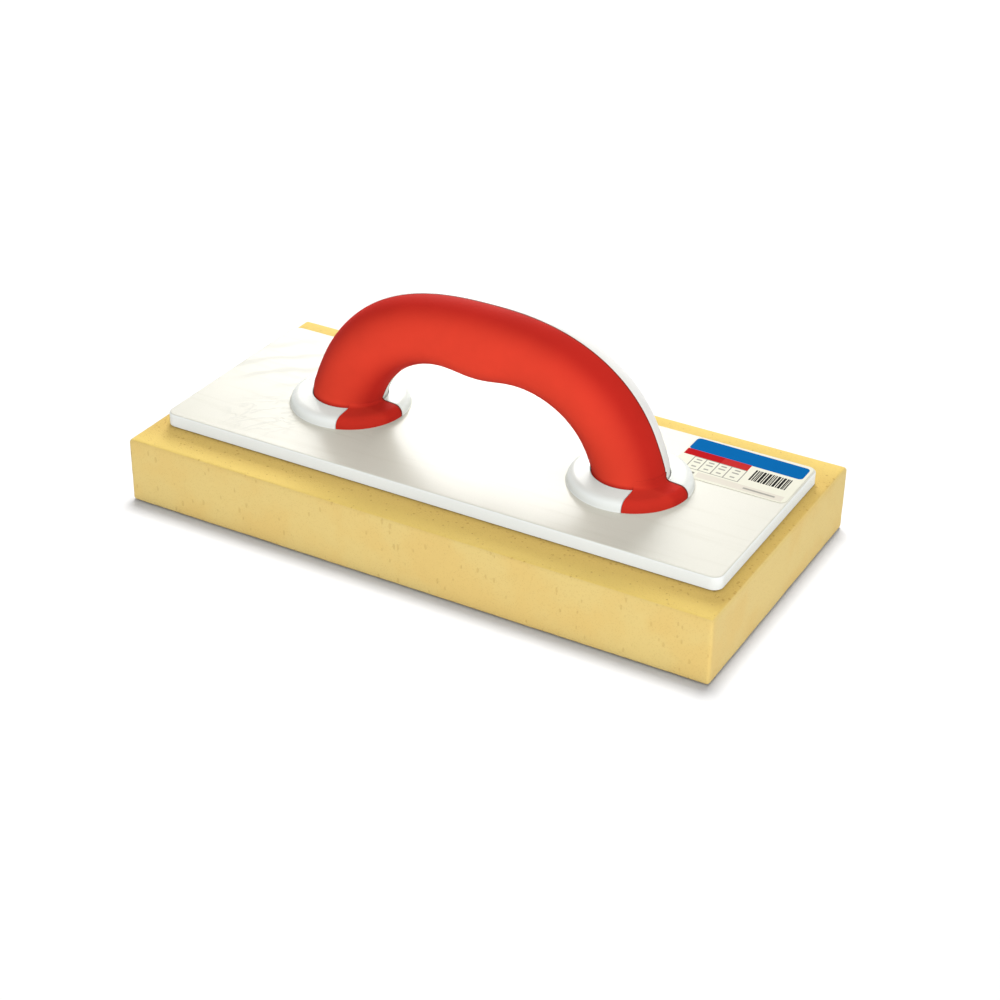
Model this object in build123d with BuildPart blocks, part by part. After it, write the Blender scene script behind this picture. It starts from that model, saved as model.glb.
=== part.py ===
"""Tiler's sponge float: a foam block under a moulded backing plate, with a two-colour arched handle.

Frame: millimetres, +Z up. The origin is the centre of the foam's working face, +X runs along the
length towards the label, and the handle's two halves part on the plane Y = 0.
"""

from build123d import *
import os
from math import acos, copysign, cos, exp, sin

os.makedirs("parts", exist_ok=True)

# ---------------------------------------------------------------- driving dimensions (mm)

# Foam block and the adhesive film over it
foam_length = 280.0
foam_width = 140.0
foam_height = 30.5
foam_corner_radius = 1.5
glue_thickness = 0.4
glue_margin = 2.0  # the film stops this far inside the plate's edge

# Backing plate
plate_length = 267.0
plate_width = 102.0
plate_thickness = 6.0
plate_corner_radius = 4.5
plate_edge_radius = 0.8

# Ring collars moulded on the plate, one round each leg of the handle
leg_spacing = 138.6
collar_radius = 26.7
collar_height = 5.6
collar_slope = 0.9  # how much lower the collar's top is at its rim
collar_rim_radius = 3.6
collar_clearance = 0.4

# Arched handle, heights above the plate
crown_height = 49.7  # the arch's centreline at its crown
arch_sink = 17.3  # how far below the plate's top the arch's own centre lies
arch_fullness = 2.5  # 2 is an ellipse, more is squarer in the shoulders
leg_radius = 16.1
crown_thinning = 0.75  # the grip's half height is this much less than the leg's radius
grip_fullness = 2.0  # the grip's half width is this much more than the leg's radius
grip_spread = 25.0
finger_swell = 3.3  # bulge under the middle of the grip
swell_spread = 16.0
spigot_step = 0.4  # the spigot stands out this far from the leg
spigot_height = 7.5
foot_height = 5.0  # the arch rises out of its spigot from this height
shell_wall = 2.8

# Foot lugs: the part of each ring that belongs to the handle instead of the plate
lug_start = 8.4  # from the leg's axis, along the handle
lug_clearance = 0.3

# Inside the shells
rib_thickness = 1.6
rib_setback = 0.4  # ribs stop this far short of the parting plane
peg_radius = 1.8
peg_reach = 4.0  # beyond the parting plane
peg_root = 8.0  # sunk in its post
peg_clearance = 0.2
peg_boss_radius = 4.0

# Screws, from below, one into each half at each leg
screw_length = 18.0
screw_radius = 2.0
screw_head_radius = 3.8
screw_head_height = 2.4
screw_recess_depth = 1.3
screw_recess_width = 0.9
screw_clearance = 0.25
screw_boss_radius = 4.4
boss_bite = 1.0  # how far the screw bosses merge into the legs' walls
counterbore_depth = 2.8
boss_margin = 3.0  # solid plastic beyond the screw's tip

# Label
label_length = 54.5
label_width = 34.5
label_thickness = 0.2
label_corner_radius = 3.0
label_end_margin = 1.2
label_back_margin = 1.0
label_gap = 0.6  # the corner by the handle is cut round the collar, this far from it

# ---------------------------------------------------------------- derived places

glue_base = foam_height
plate_base = glue_base + glue_thickness
plate_top = plate_base + plate_thickness
leg_x = leg_spacing / 2
leg_axes = (-leg_x, leg_x)
spigot_radius = leg_radius + spigot_step
collar_bore = spigot_radius + collar_clearance

counterbore_radius = screw_head_radius + screw_clearance
screw_head_base = plate_base + counterbore_depth - screw_head_height
boss_height = screw_length - (plate_thickness - counterbore_depth) + boss_margin
screw_offset = leg_radius - shell_wall - screw_boss_radius + boss_bite
screw_places = [(x, y) for x in leg_axes for y in (-screw_offset, screw_offset)]

label_x = plate_length / 2 - label_end_margin - label_length / 2
label_y = plate_width / 2 - label_back_margin - label_width / 2

# Stations along the arch: -1 at the foot on -X, 0 at the crown, 1 at the foot on +X
sections_per_side = 7
stations = [index / sections_per_side for index in range(-sections_per_side, sections_per_side + 1)]
rib_stations = (-0.5, 0, 0.5)
peg_stations = (-0.72, 0.28)  # a half has pegs here, and sockets for the other's at the negatives
socket_stations = [-station for station in peg_stations]


# ---------------------------------------------------------------- the arch's centreline and sections

def superellipse_angle(height):
    """The parameter at which the centreline stands at a height over the plate."""
    share = (height + arch_sink) / (crown_height + arch_sink)
    return acos(share ** (arch_fullness / 2))


foot_angle = superellipse_angle(foot_height)
arch_half_span = leg_x / sin(foot_angle) ** (2 / arch_fullness)


def centreline_point(angle):
    """A point of the arch's centreline, at Y = 0, as its X and its height Z."""
    x = arch_half_span * sin(angle) ** (2 / arch_fullness)
    rise = (crown_height + arch_sink) * cos(angle) ** (2 / arch_fullness)
    return x, plate_top - arch_sink + rise


centreline_steps = 12
with BuildLine(Plane.XZ) as centreline:
    Spline(
        [centreline_point(foot_angle * step / centreline_steps) for step in range(centreline_steps + 1)],
        tangents=[(1, 0), (0, -1)],
    )
half_arch = centreline.edges()[0]


def section_plane(station):
    """The plane across the arch at a station, its X axis pointing out of the arch."""
    side = copysign(1, station)
    point = half_arch @ abs(station)
    along = half_arch % abs(station)
    outward = Vector(-side * along.Z, 0, along.X)
    return Plane(origin=(side * point.X, 0, point.Z), x_dir=outward, z_dir=(along.X, 0, side * along.Z))


def section_sizes(station):
    """Half height, half width and inward swell of the grip at a station."""
    point = half_arch @ abs(station)
    rise = (point.Z - plate_top) / crown_height
    half_height = leg_radius - crown_thinning * rise**2
    half_width = leg_radius + grip_fullness * exp(-((point.X / grip_spread) ** 2))
    swell = finger_swell * exp(-((point.X / swell_spread) ** 2))
    return half_height, half_width, swell


def arch_tube(inset):
    """The arch from foot to foot, with its surface moved inwards by an inset."""
    with BuildPart() as tube:
        for station in stations:
            half_height, half_width, swell = section_sizes(station)
            plane = section_plane(station)
            centre = plane.origin - plane.x_dir * (swell / 2)
            with BuildSketch(Plane(origin=centre, x_dir=plane.x_dir, z_dir=plane.z_dir)):
                Ellipse(half_height + swell / 2 - inset, half_width - inset)
        loft()
    return tube.part


def collar_ring(inner_radius, axis_x):
    """The ring round a leg, with a sloping top and a rounded rim."""
    rim_height = collar_height - collar_slope
    with BuildPart() as ring:
        with BuildSketch(Plane((axis_x, 0, plate_top), x_dir=(1, 0, 0), z_dir=(0, -1, 0))):
            with BuildLine():
                outline = Polyline(
                    (inner_radius, 0),
                    (collar_radius, 0),
                    (collar_radius, rim_height),
                    (inner_radius, collar_height),
                    close=True,
                )
                fillet(outline.vertices().sort_by(Axis.X)[-1:].sort_by(Axis.Z), collar_rim_radius)
            make_face()
        revolve(axis=Axis((axis_x, 0, 0), (0, 0, 1)))
    return ring.part


# ---------------------------------------------------------------- foam block

with BuildPart() as sponge_pad:
    with BuildSketch(Plane.XY):
        Rectangle(foam_length, foam_width)
    extrude(amount=foam_height)
    fillet(sponge_pad.edges().filter_by(Axis.Z), foam_corner_radius)
sponge_pad.part.label = "sponge_pad"
export_step(sponge_pad.part, "parts/sponge_pad.step")


# ---------------------------------------------------------------- adhesive film

with BuildPart() as glue_layer:
    with BuildSketch(Plane.XY.offset(glue_base)):
        RectangleRounded(
            plate_length - 2 * glue_margin,
            plate_width - 2 * glue_margin,
            plate_corner_radius - glue_margin,
        )
    extrude(amount=glue_thickness)
glue_layer.part.label = "glue_layer"
export_step(glue_layer.part, "parts/glue_layer.step")


# ---------------------------------------------------------------- backing plate

rings = [collar_ring(collar_bore, x) for x in leg_axes]

with BuildPart() as backing_plate:
    with BuildSketch(Plane.XY.offset(plate_base)):
        RectangleRounded(plate_length, plate_width, plate_corner_radius)
    extrude(amount=plate_thickness)
    fillet(backing_plate.faces().sort_by(Axis.Z)[-1].edges(), plate_edge_radius)
    add(rings)
    # The notches that the handle's lugs fill: towards +X in front, towards -X behind
    notch_length = collar_radius - lug_start + 2 * lug_clearance
    for axis_x in leg_axes:
        for side in (1, -1):
            notch_x = axis_x + side * (lug_start - lug_clearance + notch_length / 2)
            notch_y = -side * (collar_radius / 2)
            with BuildSketch(Plane((notch_x, notch_y, plate_top))):
                Rectangle(notch_length, collar_radius + 2 * lug_clearance)
            extrude(amount=collar_height, mode=Mode.SUBTRACT)
    # Screw holes, counterbored from below
    with BuildSketch(Plane.XY.offset(plate_base)):
        with Locations(screw_places):
            Circle(screw_radius + screw_clearance)
    extrude(amount=plate_thickness, mode=Mode.SUBTRACT)
    with BuildSketch(Plane.XY.offset(plate_base)):
        with Locations(screw_places):
            Circle(counterbore_radius)
    extrude(amount=counterbore_depth, mode=Mode.SUBTRACT)
backing_plate.part.label = "backing_plate"
export_step(backing_plate.part, "parts/backing_plate.step")


# ---------------------------------------------------------------- handle halves

# The solid handle, the hollow in it, and the lugs, each whole before it is halved
with BuildPart() as handle_body:
    add(arch_tube(0))
    for axis_x in leg_axes:
        with BuildSketch(Plane((axis_x, 0, plate_top))):
            Circle(spigot_radius)
        extrude(amount=spigot_height)

with BuildPart() as handle_hollow:
    add(arch_tube(shell_wall))
    for axis_x in leg_axes:
        with BuildSketch(Plane((axis_x, 0, plate_top))):
            Circle(spigot_radius - shell_wall)
        extrude(amount=spigot_height)

# What stands inside the hollow: screw bosses, ribs and the posts of the pegs and sockets
rib_blank = 2 * (leg_radius + grip_fullness + finger_swell)  # wider than the hollow, which trims it
with BuildPart() as inner_work:
    for axis_x in leg_axes:
        with BuildSketch(Plane((axis_x, -screw_offset, plate_top))):
            Circle(screw_boss_radius)
        extrude(amount=boss_height)
    for station in rib_stations:
        plane = section_plane(station)
        with BuildSketch(plane.offset(-rib_thickness / 2)):
            Rectangle(rib_blank, rib_blank)
        extrude(amount=rib_thickness)
    with BuildSketch(Plane.XZ.offset(rib_setback)):
        for station in (*peg_stations, *socket_stations):
            point = section_plane(station).origin
            with Locations((point.X, point.Z)):
                Circle(peg_boss_radius)
    extrude(amount=leg_radius)
    add(handle_hollow.part, mode=Mode.INTERSECT)
    split(bisect_by=Plane.XZ.offset(rib_setback), keep=Keep.TOP)

lug_rings = [collar_ring(spigot_radius - shell_wall / 2, x) for x in leg_axes]
with BuildPart() as lugs:
    for axis_x in leg_axes:
        with BuildSketch(Plane((axis_x + (lug_start + collar_radius) / 2, -collar_radius / 2, plate_top))):
            Rectangle(collar_radius - lug_start, collar_radius)
        extrude(amount=collar_height)
    add(lug_rings, mode=Mode.INTERSECT)

with BuildPart() as handle_front_shell:
    add(handle_body.part)
    add(handle_hollow.part, mode=Mode.SUBTRACT)
    split(bisect_by=Plane.XZ, keep=Keep.TOP)
    add(lugs.part)
    add(inner_work.part)
    # Pilot bores for the screws
    for axis_x in leg_axes:
        with BuildSketch(Plane((axis_x, -screw_offset, plate_top))):
            Circle(screw_radius + screw_clearance)
        extrude(amount=boss_height - boss_margin + screw_clearance, mode=Mode.SUBTRACT)
    # Pegs reach across the parting plane, and sockets take the other half's pegs
    with BuildSketch(Plane.XZ.offset(peg_root)):
        for station in peg_stations:
            point = section_plane(station).origin
            with Locations((point.X, point.Z)):
                Circle(peg_radius)
    extrude(amount=-(peg_root + peg_reach))
    with BuildSketch(Plane.XZ.offset(rib_setback)):
        for station in socket_stations:
            point = section_plane(station).origin
            with Locations((point.X, point.Z)):
                Circle(peg_radius + peg_clearance)
    extrude(amount=peg_reach + peg_clearance, mode=Mode.SUBTRACT)
handle_front_shell.part.label = "handle_front_shell"
export_step(handle_front_shell.part, "parts/handle_front_shell.step")

# The rear half is the same moulding turned half a turn
with BuildPart() as handle_rear_shell:
    add(handle_front_shell.part, rotation=(0, 0, 180))
handle_rear_shell.part.label = "handle_rear_shell"
export_step(handle_rear_shell.part, "parts/handle_rear_shell.step")


# ---------------------------------------------------------------- screws

for number, (screw_x, screw_y) in enumerate(screw_places, start=1):
    with BuildPart() as handle_screw:
        with BuildSketch(Plane((screw_x, screw_y, screw_head_base))):
            Circle(screw_head_radius)
        extrude(amount=screw_head_height)
        fillet(handle_screw.faces().sort_by(Axis.Z)[0].edges(), screw_head_height / 2)
        with BuildSketch(Plane((screw_x, screw_y, screw_head_base + screw_head_height))):
            Circle(screw_radius)
        extrude(amount=screw_length)
        chamfer(handle_screw.faces().sort_by(Axis.Z)[-1].edges(), screw_radius / 2)
        with BuildSketch(Plane((screw_x, screw_y, screw_head_base))):
            Rectangle(screw_head_radius, screw_recess_width)
            Rectangle(screw_recess_width, screw_head_radius)
        extrude(amount=screw_recess_depth, mode=Mode.SUBTRACT)
    handle_screw.part.label = f"handle_screw_{number}"
    export_step(handle_screw.part, f"parts/handle_screw_{number}.step")


# ---------------------------------------------------------------- label

with BuildPart() as label:
    with BuildSketch(Plane((label_x, label_y, plate_top))):
        RectangleRounded(label_length, label_width, label_corner_radius)
        with Locations((leg_x - label_x, -label_y)):
            Circle(collar_radius + label_gap, mode=Mode.SUBTRACT)
    extrude(amount=label_thickness)
label.part.label = "label"
export_step(label.part, "parts/label.step")
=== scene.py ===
"""Looks of a tiler's sponge float: foam block, backing plate, two-colour handle and label.

Lengths are in metres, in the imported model's frame. The origin is the centre of the foam's working
face, +X runs along the length towards the label, +Z is up, and the handle's two halves part on the
plane Y = 0.
"""

import logging
import math
from dataclasses import dataclass
from enum import Enum
from functools import cache

import bmesh
import bpy
from bmesh.types import BMEdge, BMesh, BMFace, BMVert
from bpy.types import Material, Mesh, Node, NodeSocket, NodeTree, Object, bpy_prop_collection
from mathutils import Matrix, Vector, geometry, noise


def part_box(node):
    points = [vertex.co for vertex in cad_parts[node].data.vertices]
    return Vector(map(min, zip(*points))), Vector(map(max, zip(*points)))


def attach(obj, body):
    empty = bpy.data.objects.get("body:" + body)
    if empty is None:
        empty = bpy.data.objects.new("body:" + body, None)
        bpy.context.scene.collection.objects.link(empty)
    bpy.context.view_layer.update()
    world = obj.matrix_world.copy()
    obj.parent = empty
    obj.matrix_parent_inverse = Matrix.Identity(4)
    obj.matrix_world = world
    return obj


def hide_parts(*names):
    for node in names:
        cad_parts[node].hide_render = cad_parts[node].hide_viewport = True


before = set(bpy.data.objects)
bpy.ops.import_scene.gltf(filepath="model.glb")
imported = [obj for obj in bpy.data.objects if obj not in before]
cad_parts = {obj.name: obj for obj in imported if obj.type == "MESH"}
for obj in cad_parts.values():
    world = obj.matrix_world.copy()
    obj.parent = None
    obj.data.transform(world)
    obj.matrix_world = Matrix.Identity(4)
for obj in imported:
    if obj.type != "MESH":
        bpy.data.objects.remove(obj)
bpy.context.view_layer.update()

MM = 0.001
BODY = "root"
log = logging.getLogger("sponge_float")

Colour = tuple[float, float, float]
Input = float | Colour | tuple[float, ...] | Vector | NodeSocket
Setting = str | NodeTree


class Slot(Enum):
    """The record's material slots; the script builds its finishes without them."""

    FOAM = "foam"
    PLATE = "plate_plastic"
    RED = "red_plastic"
    WHITE = "white_plastic"


class Half(Enum):
    """The two halves of the handle, with how far each is turned about the vertical."""

    FRONT = 0
    REAR = 180


class Lit(Enum):
    """What a lamp shines on."""

    PIECES = "pieces"
    FLOOR = "floor"


# ---- small helpers


def connect(tree: NodeTree, value: Input, target: NodeSocket) -> None:
    """Links a socket to an input, or sets the input to a plain value."""
    if isinstance(value, NodeSocket):
        tree.links.new(value, target)
    else:
        target.default_value = value


def place(tree: NodeTree, kind: str, inputs: dict[str | int, Input] | None = None,
          **settings: Setting) -> Node:
    """Adds a node to a tree, sets it up and connects its inputs.

    Args:
        tree: The node tree.
        kind: The node's type, such as "ShaderNodeTexNoise".
        inputs: Input name or index to a value, or to the socket that feeds it.
        **settings: The node's own properties.

    Returns:
        The new node.
    """
    node = tree.nodes.new(kind)
    for name, value in settings.items():
        setattr(node, name, value)
    for name, value in (inputs or {}).items():
        connect(tree, value, node.inputs[name])
    return node


def maths(tree: NodeTree, operation: str, *values: Input) -> NodeSocket:
    """Adds a math node on one to three values or sockets, and returns its result."""
    node = place(tree, "ShaderNodeMath", dict(enumerate(values)), operation=operation)
    return node.outputs[0]


def span(tree: NodeTree, value: NodeSocket, low: Input, high: Input,
         to_low: float = 0.0, to_high: float = 1.0) -> NodeSocket:
    """Maps a value smoothly from low..high to to_low..to_high, and returns the result."""
    inputs = {"Value": value, "From Min": low, "From Max": high, "To Min": to_low, "To Max": to_high}
    node = place(tree, "ShaderNodeMapRange", inputs, interpolation_type="SMOOTHSTEP")
    return node.outputs["Result"]


def blend_colours(tree: NodeTree, share: Input, low: Input, high: Input, how: str = "MIX") -> NodeSocket:
    """Mixes two colours by a share, and returns the mixed colour."""
    first, second = [(*c, 1.0) if isinstance(c, tuple) else c for c in (low, high)]
    node = place(tree, "ShaderNodeMix", {0: share, 6: first, 7: second}, data_type="RGBA", blend_type=how)
    return node.outputs[2]


def finished(name: str, bm: BMesh, smooth_angle: float) -> Object:
    """Turns a bmesh into an object at the origin, shaded smooth below an angle.

    Args:
        name: The object's name.
        bm: The mesh, which is freed.
        smooth_angle: Edges that turn by more than this, in degrees, stay sharp.

    Returns:
        The new object, in the scene.
    """
    mesh = bpy.data.meshes.new(name)
    bm.to_mesh(mesh)
    bm.free()
    mesh.shade_smooth()
    mesh.set_sharp_from_angle(angle=math.radians(smooth_angle))
    piece = bpy.data.objects.new(name, mesh)
    bpy.context.scene.collection.objects.link(piece)
    return piece


def cover(piece: Object, material: Material) -> None:
    """Gives a piece one material all over."""
    piece.data.materials.clear()
    piece.data.materials.append(material)


def box_mesh(low: Vector, high: Vector) -> BMesh:
    """A new mesh that holds the box between two corners."""
    bm = bmesh.new()
    size = Matrix.Diagonal((*(high - low), 1.0))
    bmesh.ops.create_cube(bm, size=1.0, matrix=Matrix.Translation((low + high) / 2) @ size)
    return bm


def round_edges(bm: BMesh, edges: list[BMEdge], radius: float, segments: int) -> None:
    """Rounds edges of a mesh."""
    bmesh.ops.bevel(bm, geom=edges, offset=radius, segments=segments, profile=0.5, affect="EDGES",
                    material=-1)


def keep_side(bm: BMesh, point: Vector, outward: Vector) -> None:
    """Cuts a closed solid with a plane, drops what lies outward of it and closes the cut."""
    geom = bm.verts[:] + bm.edges[:] + bm.faces[:]
    cut = bmesh.ops.bisect_plane(bm, geom=geom, dist=1e-7, plane_co=point, plane_no=outward, clear_outer=True)
    rim = [e for e in cut["geom_cut"] if isinstance(e, BMEdge)]
    bmesh.ops.contextual_create(bm, geom=rim)


def spun_solid(bm: BMesh, profile: list[tuple[float, float]], rounding: dict[int, float],
               start: float, sweep: float, steps: int) -> None:
    """Adds the solid that a closed profile makes when it is spun about the vertical.

    Args:
        bm: The mesh, which holds nothing else yet.
        profile: Corners as radius and height.
        rounding: Corner number to the radius of its rounding.
        start: The angle that the profile starts at, in degrees from +X.
        sweep: How far it turns, in degrees.
        steps: How many steps the turn takes.
    """
    corners = [bm.verts.new((r, 0.0, z)) for r, z in profile]
    bm.faces.new(corners)
    for number, radius in rounding.items():
        bmesh.ops.bevel(bm, geom=[corners[number]], offset=radius, offset_type="OFFSET", segments=6,
                        profile=0.5, affect="VERTICES", material=-1, clamp_overlap=True)
    face = bm.faces[:][0]
    turn = Matrix.Rotation(math.radians(start), 4, "Z")
    bmesh.ops.transform(bm, matrix=turn, verts=bm.verts[:])
    geom = [face, *face.edges[:], *face.verts[:]]
    bmesh.ops.spin(bm, geom=geom, cent=(0, 0, 0), axis=(0, 0, 1), dvec=(0, 0, 0),
                   angle=math.radians(sweep), steps=steps, use_merge=False, use_duplicate=False)
    bmesh.ops.remove_doubles(bm, verts=bm.verts[:], dist=1e-6)
    bmesh.ops.recalc_face_normals(bm, faces=bm.faces[:])


def join_into(target: BMesh, part: BMesh, where: Matrix) -> None:
    """Adds a copy of one mesh, moved by a matrix, to another, and frees the first."""
    part.transform(where)
    holder = bpy.data.meshes.new("holder")
    part.to_mesh(holder)
    part.free()
    target.from_mesh(holder)
    bpy.data.meshes.remove(holder)


# ---- shared effects


def new_group(name: str, inputs: dict[str, float], outputs: tuple[str, ...]) -> NodeTree:
    """Makes an empty shader node group with float sockets."""
    group = bpy.data.node_groups.new(name, "ShaderNodeTree")
    for socket, value in inputs.items():
        made = group.interface.new_socket(socket, in_out="INPUT", socket_type="NodeSocketFloat")
        made.default_value = value
    for socket in outputs:
        group.interface.new_socket(socket, in_out="OUTPUT", socket_type="NodeSocketFloat")
    return group


@cache
def moulded_grain() -> NodeTree:
    """The fine texture and the faint cloudiness of moulded plastic.

    Returns:
        A group with inputs Grain Scale and Cloud Scale, and outputs Grain and Cloud, both from 0 to 1.
    """
    group = new_group("moulded_grain", {"Grain Scale": 2600.0, "Cloud Scale": 45.0}, ("Grain", "Cloud"))
    given = place(group, "NodeGroupInput").outputs
    where = place(group, "ShaderNodeTexCoord").outputs["Object"]
    made = {}
    for name, detail in (("Grain", 2.0), ("Cloud", 3.0)):
        inputs = {"Vector": where, "Scale": given[f"{name} Scale"], "Detail": detail}
        made[name] = place(group, "ShaderNodeTexNoise", inputs).outputs["Fac"]
    place(group, "NodeGroupOutput", made)
    return group


@cache
def parting_shade() -> NodeTree:
    """How near a point is to the plane where the handle's halves meet.

    Returns:
        A group with inputs Near and Far, and the output Shade, 1 on the plane and 0 beyond Far.
    """
    group = new_group("parting_shade", {"Near": 0.0, "Far": 0.012}, ("Shade",))
    given = place(group, "NodeGroupInput").outputs
    where = place(group, "ShaderNodeTexCoord").outputs["Object"]
    across = place(group, "ShaderNodeSeparateXYZ", {"Vector": where}).outputs["Y"]
    shade = span(group, maths(group, "ABSOLUTE", across), given["Near"], given["Far"], 1.0, 0.0)
    place(group, "NodeGroupOutput", {"Shade": shade})
    return group


@cache
def printed_box() -> NodeTree:
    """A printed rectangle with rounded corners.

    Returns:
        A group with inputs X, Y, Centre X, Centre Y, Half X, Half Y and Corner, and the output Ink.
    """
    names = ("X", "Y", "Centre X", "Centre Y", "Half X", "Half Y", "Corner")
    group = new_group("printed_box", dict.fromkeys(names, 0.0), ("Ink",))
    given = place(group, "NodeGroupInput").outputs
    past = []
    for axis in "XY":
        off = maths(group, "ABSOLUTE", maths(group, "SUBTRACT", given[axis], given[f"Centre {axis}"]))
        core = maths(group, "SUBTRACT", given[f"Half {axis}"], given["Corner"])
        past.append(maths(group, "SUBTRACT", off, core))
    outside = [maths(group, "MAXIMUM", side, 0.0) for side in past]
    squared = [maths(group, "MULTIPLY", side, side) for side in outside]
    reach = maths(group, "SQRT", maths(group, "ADD", *squared))
    inside = maths(group, "MINIMUM", maths(group, "MAXIMUM", *past), 0.0)
    edge = maths(group, "SUBTRACT", maths(group, "ADD", reach, inside), given["Corner"])
    soft = 0.06 * MM
    ink = place(group, "ShaderNodeMapRange",
                {"Value": edge, "From Min": -soft, "From Max": soft, "To Min": 1.0, "To Max": 0.0})
    place(group, "NodeGroupOutput", {"Ink": ink.outputs["Result"]})
    return group


# ---- finishes


class Finish:
    """A material under construction: its tree, its shader and its object coordinates."""

    def __init__(self, name: str) -> None:
        """Makes an empty material."""
        self.material = bpy.data.materials.new(name)
        self.material.use_nodes = True
        self.tree = self.material.node_tree
        self.shader = self.tree.nodes["Principled BSDF"]
        self.where = place(self.tree, "ShaderNodeTexCoord").outputs["Object"]

    def located(self, kind: str, **inputs: Input) -> bpy_prop_collection:
        """Places a node on the object coordinates, if not given others, and returns its outputs."""
        return place(self.tree, f"ShaderNode{kind}", {"Vector": self.where, **inputs}).outputs

    def axis(self, name: str) -> NodeSocket:
        """The object coordinate along an axis."""
        return self.located("SeparateXYZ")[name]

    def upward(self) -> NodeSocket:
        """How far the surface faces up, 1 where it is level."""
        facing = place(self.tree, "ShaderNodeTexCoord").outputs["Normal"]
        return self.located("SeparateXYZ", Vector=facing)["Z"]

    def distance_from(self, point: Vector) -> NodeSocket:
        """The distance from a point of the object."""
        inputs = {0: self.where, 1: point}
        return place(self.tree, "ShaderNodeVectorMath", inputs, operation="DISTANCE").outputs["Value"]

    def group(self, tree: NodeTree, **values: Input) -> bpy_prop_collection:
        """Places a node group, its inputs named with underscores for spaces, and returns its outputs."""
        inputs = {name.replace("_", " "): value for name, value in values.items()}
        return place(self.tree, "ShaderNodeGroup", inputs, node_tree=tree).outputs

    def feed(self, **values: Input) -> None:
        """Connects values to the shader's inputs, named with underscores for spaces."""
        for name, value in values.items():
            connect(self.tree, value, self.shader.inputs[name.replace("_", " ")])

    def calmed(self, colour: NodeSocket, saturation: float) -> NodeSocket:
        """Greys a colour only in the light that it throws on its neighbours, and returns it."""
        bounced = place(self.tree, "ShaderNodeLightPath").outputs["Is Diffuse Ray"]
        calm = place(self.tree, "ShaderNodeHueSaturation",
                     {"Color": colour, "Saturation": saturation, "Fac": bounced})
        return calm.outputs["Color"]

    def bump(self, height: NodeSocket, depth: float, strength: float = 1.0,
             under: NodeSocket | None = None) -> NodeSocket:
        """Adds a bump of a depth in metres over an earlier one, and returns its normal."""
        inputs = {"Height": height, "Distance": depth, "Strength": strength}
        if under is not None:
            inputs["Normal"] = under
        return place(self.tree, "ShaderNodeBump", inputs).outputs["Normal"]


@dataclass(frozen=True)
class MouldedPlastic:
    """A moulded plastic with a satin face, with painted shade that deepens its colour towards the parting line
    and at the feet.
    """

    name: str
    body: Colour
    # The colour of the painted shade, reached near the parting line and on the lugs.
    painted_shade: Colour
    shade_near: float
    shade_far: float
    roughness: float
    gloss: float
    lug_shade_share: float = 0.75
    lug_shade_fade: float = 2 * MM
    # Painted shade: a near-black line along the parting edge, for the shade in the join between the halves.
    seam_shade: Colour = (0.10, 0.03, 0.02)
    seam_shade_share: float = 0.0
    seam_shade_near: float = 0.35 * MM
    seam_shade_far: float = 1.2 * MM
    cloud_tint: Colour = (0.94, 0.94, 0.94)
    bounce_saturation: float = 1.0
    roughness_spread: float = 0.05
    grain_depth: float = 0.008 * MM

    def material(self, foot_top: float) -> Material:
        """Builds the material for a half of the handle whose lugs end at a height."""
        finish = Finish(self.name)
        tree = finish.tree
        grain = finish.group(moulded_grain())
        # Painted shade: the colour deepens near the parting plane, along the arch's top, and over the lugs at
        # the feet.
        parting = finish.group(parting_shade(), Near=self.shade_near, Far=self.shade_far)["Shade"]
        lug = span(tree, finish.axis("Z"), foot_top, foot_top + self.lug_shade_fade, self.lug_shade_share, 0.0)
        shaded = blend_colours(tree, maths(tree, "MAXIMUM", parting, lug), self.body, self.painted_shade)
        # Painted shade along the parting edge, darkening the join between the halves.
        seam_shade = finish.group(parting_shade(), Near=self.seam_shade_near, Far=self.seam_shade_far)["Shade"]
        tone = blend_colours(tree, maths(tree, "MULTIPLY", seam_shade, self.seam_shade_share), shaded, self.seam_shade)
        dulled = blend_colours(tree, 1.0, tone, self.cloud_tint, "MULTIPLY")
        clouded = blend_colours(tree, span(tree, grain["Cloud"], 0.35, 0.65), dulled, tone)
        smooth, rough = self.roughness - self.roughness_spread, self.roughness + self.roughness_spread
        finish.feed(
            Base_Color=finish.calmed(clouded, self.bounce_saturation),
            Roughness=span(tree, grain["Grain"], 0.2, 0.8, smooth, rough),
            Normal=finish.bump(grain["Grain"], self.grain_depth),
            Specular_IOR_Level=self.gloss,
        )
        return finish.material


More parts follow.
